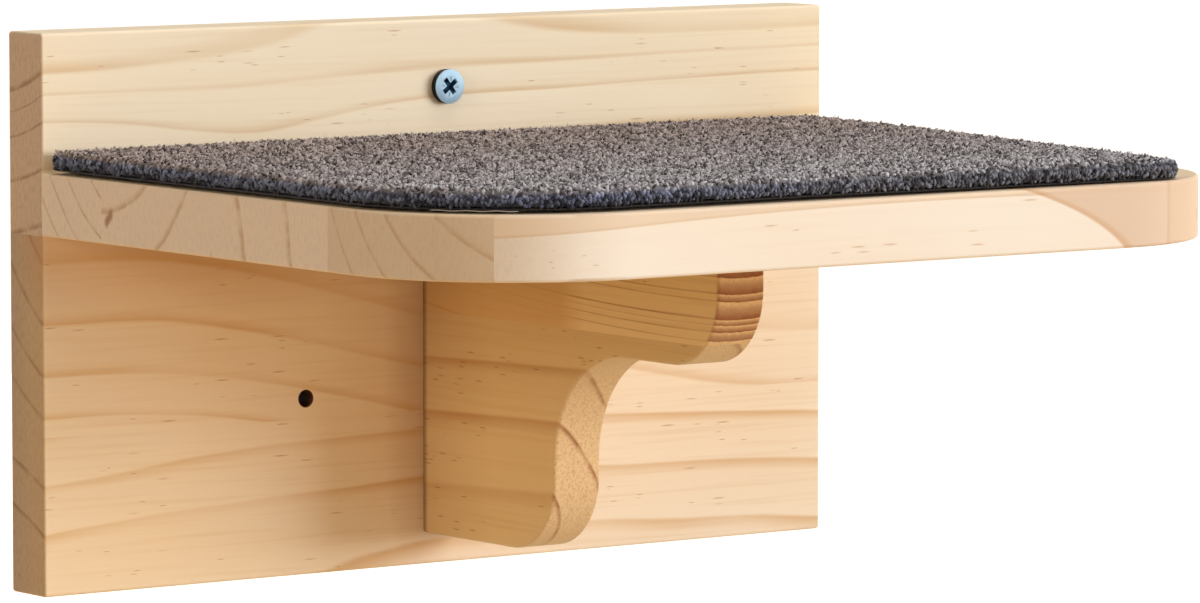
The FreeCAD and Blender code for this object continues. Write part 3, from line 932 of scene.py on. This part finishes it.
# %% [markdown]
# A bundle of fibres on the top is a stretched bead of nine faces: from a step away that is a soft grain,
# and it keeps tens of thousands of them light. The thick bundles of the cut edge are seen closer, so they
# are rounder. One bead is modelled, and a small node tree copies it: points are spread over the felt no
# closer than a spacing, each gets a copy with its own lean, size and shade, and the copies become one mesh.

# %% Bundles of fibre
BEAD_RADIUS = 0.5 * MM
# How far up a face looks, from -1 to 1: above the first it is the top, below the second the underside
TOP_FACES = 0.55
UNDER_FACES = -0.6
# Points that are tried on each square of the spacing
CROWDING = 4


def scatter(name, spacing, seed, on_top, lean, smallest, largest, palest=1.0, sides=3, drop=0):
    """Covers the felt's top or its cut edge with bundles. Sizes are in mm: two widths and a length.
    drop is how far they hang below the place where they grow."""
    bpy.ops.object.select_all(action="DESELECT")
    bpy.ops.mesh.primitive_uv_sphere_add(segments=sides, ring_count=max(3, sides - 2), radius=BEAD_RADIUS)
    tuft = bpy.context.object
    bpy.ops.object.shade_smooth()
    tree = bpy.data.node_groups.new(name, "GeometryNodeTree")
    tree.interface.new_socket("Geometry", in_out="INPUT", socket_type="NodeSocketGeometry")
    tree.interface.new_socket("Geometry", in_out="OUTPUT", socket_type="NodeSocketGeometry")
    ground = add(tree, "NodeGroupInput")
    normal = add(tree, "GeometryNodeInputNormal")
    up = add(tree, "ShaderNodeSeparateXYZ", {0: normal.outputs[0]})
    level = add(tree, "ShaderNodeMath", {0: up.outputs[2], 1: TOP_FACES},
                operation="GREATER_THAN" if on_top else "LESS_THAN")
    steep = add(tree, "ShaderNodeMath", {0: up.outputs[2], 1: UNDER_FACES}, operation="GREATER_THAN")
    chosen = add(tree, "ShaderNodeMath", {0: level.outputs[0], 1: steep.outputs[0]}, operation="MULTIPLY")
    points = add(tree, "GeometryNodeDistributePointsOnFaces", {
        "Mesh": ground.outputs[0], "Selection": chosen.outputs[0], "Distance Min": spacing,
        "Density Max": CROWDING / spacing ** 2, "Seed": seed}, distribute_method="POISSON")
    lowered = add(tree, "GeometryNodeSetPosition", {"Geometry": points.outputs["Points"],
                                                    "Offset": (0, 0, -drop)})
    angles = add(tree, "FunctionNodeRandomValue", {0: (-lean, -lean, -math.pi), 1: (lean, lean, math.pi),
                                                   "Seed": seed + 1}, data_type="FLOAT_VECTOR")
    turned = add(tree, "FunctionNodeEulerToRotation", {0: angles.outputs[0]})
    size = add(tree, "FunctionNodeRandomValue", {0: smallest, 1: largest, "Seed": seed + 2},
               data_type="FLOAT_VECTOR")
    copies = add(tree, "GeometryNodeInstanceOnPoints", {
        "Points": lowered.outputs[0], "Rotation": turned.outputs[0], "Scale": size.outputs[0],
        "Instance": add(tree, "GeometryNodeObjectInfo", {"Object": tuft}).outputs["Geometry"]})
    shade = add(tree, "FunctionNodeRandomValue", {2: 0.0, 3: palest, "Seed": seed + 3}, data_type="FLOAT")
    named = add(tree, "GeometryNodeStoreNamedAttribute", {
        "Geometry": copies.outputs[0], "Name": "shade", "Value": shade.outputs[1]},
        data_type="FLOAT", domain="INSTANCE")
    real = add(tree, "GeometryNodeRealizeInstances", {"Geometry": named.outputs[0]})
    add(tree, "NodeGroupOutput", {0: real.outputs[0]})

    bundles = carpet.copy()
    bundles.data = carpet.data.copy()
    bundles.name = name
    bpy.context.collection.objects.link(bundles)
    select_only(bundles)
    growth = bundles.modifiers.new("growth", "NODES")
    growth.node_group = tree
    bpy.ops.object.modifier_apply(modifier="growth")
    bpy.data.objects.remove(tuft)
    finish(bundles, felt)
    print(name, len(bundles.data.polygons), "faces")
    return bundles


# %% [markdown]
# Long and short bundles cover the top, thick bundles and thin fibres the cut edge. Last comes the fuzz: a
# few long single fibres that have worked loose from the top.

# %% Pile and fuzz
tufts = [
    scatter("carpet_tufts_long", spacing=1.5 * MM, seed=11, on_top=True, lean=1.35,
            smallest=(0.9, 0.9, 2.0), largest=(1.4, 1.4, 3.4)),
    scatter("carpet_tufts_short", spacing=1.5 * MM, seed=23, on_top=True, lean=0.9,
            smallest=(1.0, 1.0, 1.4), largest=(1.5, 1.5, 2.4)),
    scatter("carpet_edge_bundles", spacing=0.85 * MM, seed=37, on_top=False, lean=0.9,
            smallest=(0.8, 0.8, 1.2), largest=(1.3, 1.3, 2.2), palest=0.95, sides=6, drop=0.3 * MM),
    scatter("carpet_edge_fibres", spacing=0.9 * MM, seed=41, on_top=False, lean=1.2,
            smallest=(0.25, 0.25, 1.6), largest=(0.4, 0.4, 2.4)),
    scatter("carpet_fuzz", spacing=2.7 * MM, seed=51, on_top=True, lean=1.2,
            smallest=(0.14, 0.14, 3.0), largest=(0.22, 0.22, 5.0)),
]

# %% [markdown]
# Under the felt is a thin dark latex backing with a woven scrim in it. Only its edge shows, as a dark line
# below the fibres. The scrim shows through as faint bands, one to each of its threads.

# %% Backing
SCRIM = 2.0 * MM
ONE_WAVE = 2 * math.pi / 20
BACKING_SIDE = 0.6 * MM
latex, tree, surface = new_finish("latex_backing_with_scrim", {"Roughness": 0.8})
place = add(tree, "ShaderNodeTexCoord")
weave = add(tree, "ShaderNodeTexWave", {"Vector": place.outputs["Object"], "Scale": ONE_WAVE / SCRIM,
                                        "Distortion": 0.5}, bands_direction="X")
latex_tone = painted(tree, linear("#1E1A1A"), [(weave.outputs["Fac"], linear("#2E2A28"))])
tree.links.new(latex_tone, surface.inputs["Base Color"])
backing_low, backing_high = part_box("carpet_backing")
set_back = Vector((BACKING_SIDE, BACKING_SIDE, 0))
backing = mat_plate("latex_backing", backing_low + set_back, backing_high - set_back)
roughen(backing, voxel=1.08 * MM, lump=6 * MM, height=0.25 * MM)
sag(backing)
finish(backing, latex)

# %% [markdown]
# At the front left corner one pale thread of the scrim has come loose along the backing's edge. It is a
# curve round that corner, waved a little in and out and up and down, with a round bevel as its thickness.

# %% Loose scrim thread
YARN_RADIUS = 0.11 * MM
YARN_POINTS = 12
YARN_STARTS = 212
YARN_SWEEP = 26
YARN_OUT = 0.3 * MM
OUT_SWING = 0.8
OUT_RATE = 2.1
YARN_UP = 0.1 * MM
UP_SWING = 0.18 * MM
UP_RATE = 1.7
corner_middle = Vector((pile_low.x + LEFT_ROUND, pile_low.y + LEFT_ROUND))
bpy.ops.object.select_all(action="DESELECT")
bpy.ops.curve.primitive_nurbs_path_add(location=(0, 0, 0))
yarn_path = bpy.context.object
spline = yarn_path.data.splines[0]
spline.points.add(YARN_POINTS - len(spline.points))
for number, point in enumerate(spline.points):
    turn = math.radians(YARN_STARTS + YARN_SWEEP * number / (YARN_POINTS - 1))
    out = LEFT_ROUND + YARN_OUT * (1 + OUT_SWING * math.sin(OUT_RATE * number))
    height = backing_low.z + YARN_UP + UP_SWING * math.sin(UP_RATE * number)
    point.co = (corner_middle.x + out * math.cos(turn), corner_middle.y + out * math.sin(turn), height, 1)
yarn_path.data.bevel_depth = YARN_RADIUS
yarn_path.data.bevel_resolution = 2
yarn_path.data.use_fill_caps = True
bpy.ops.object.convert(target="MESH")
loose_thread = bpy.context.object
loose_thread.name = "loose_scrim_thread"
scrim_yarn, tree, surface = new_finish("bleached_polyester_scrim_yarn", {
    "Base Color": linear("#B4AEA6"), "Roughness": 0.7})
finish(loose_thread, scrim_yarn)
print("thread:", len(loose_thread.data.polygons), "faces")

# %% [markdown]
# All the mat's pieces are fixed to the step's one body and take the place of the packed pile and backing.
# The backing lies on the tape, and the felt on the backing.

# %% Riding and replacing the mat
for piece in [carpet] + tufts:
    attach(piece, "root")
    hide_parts("carpet_pile")
for piece in (backing, loose_thread):
    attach(piece, "root")
    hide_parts("carpet_backing")
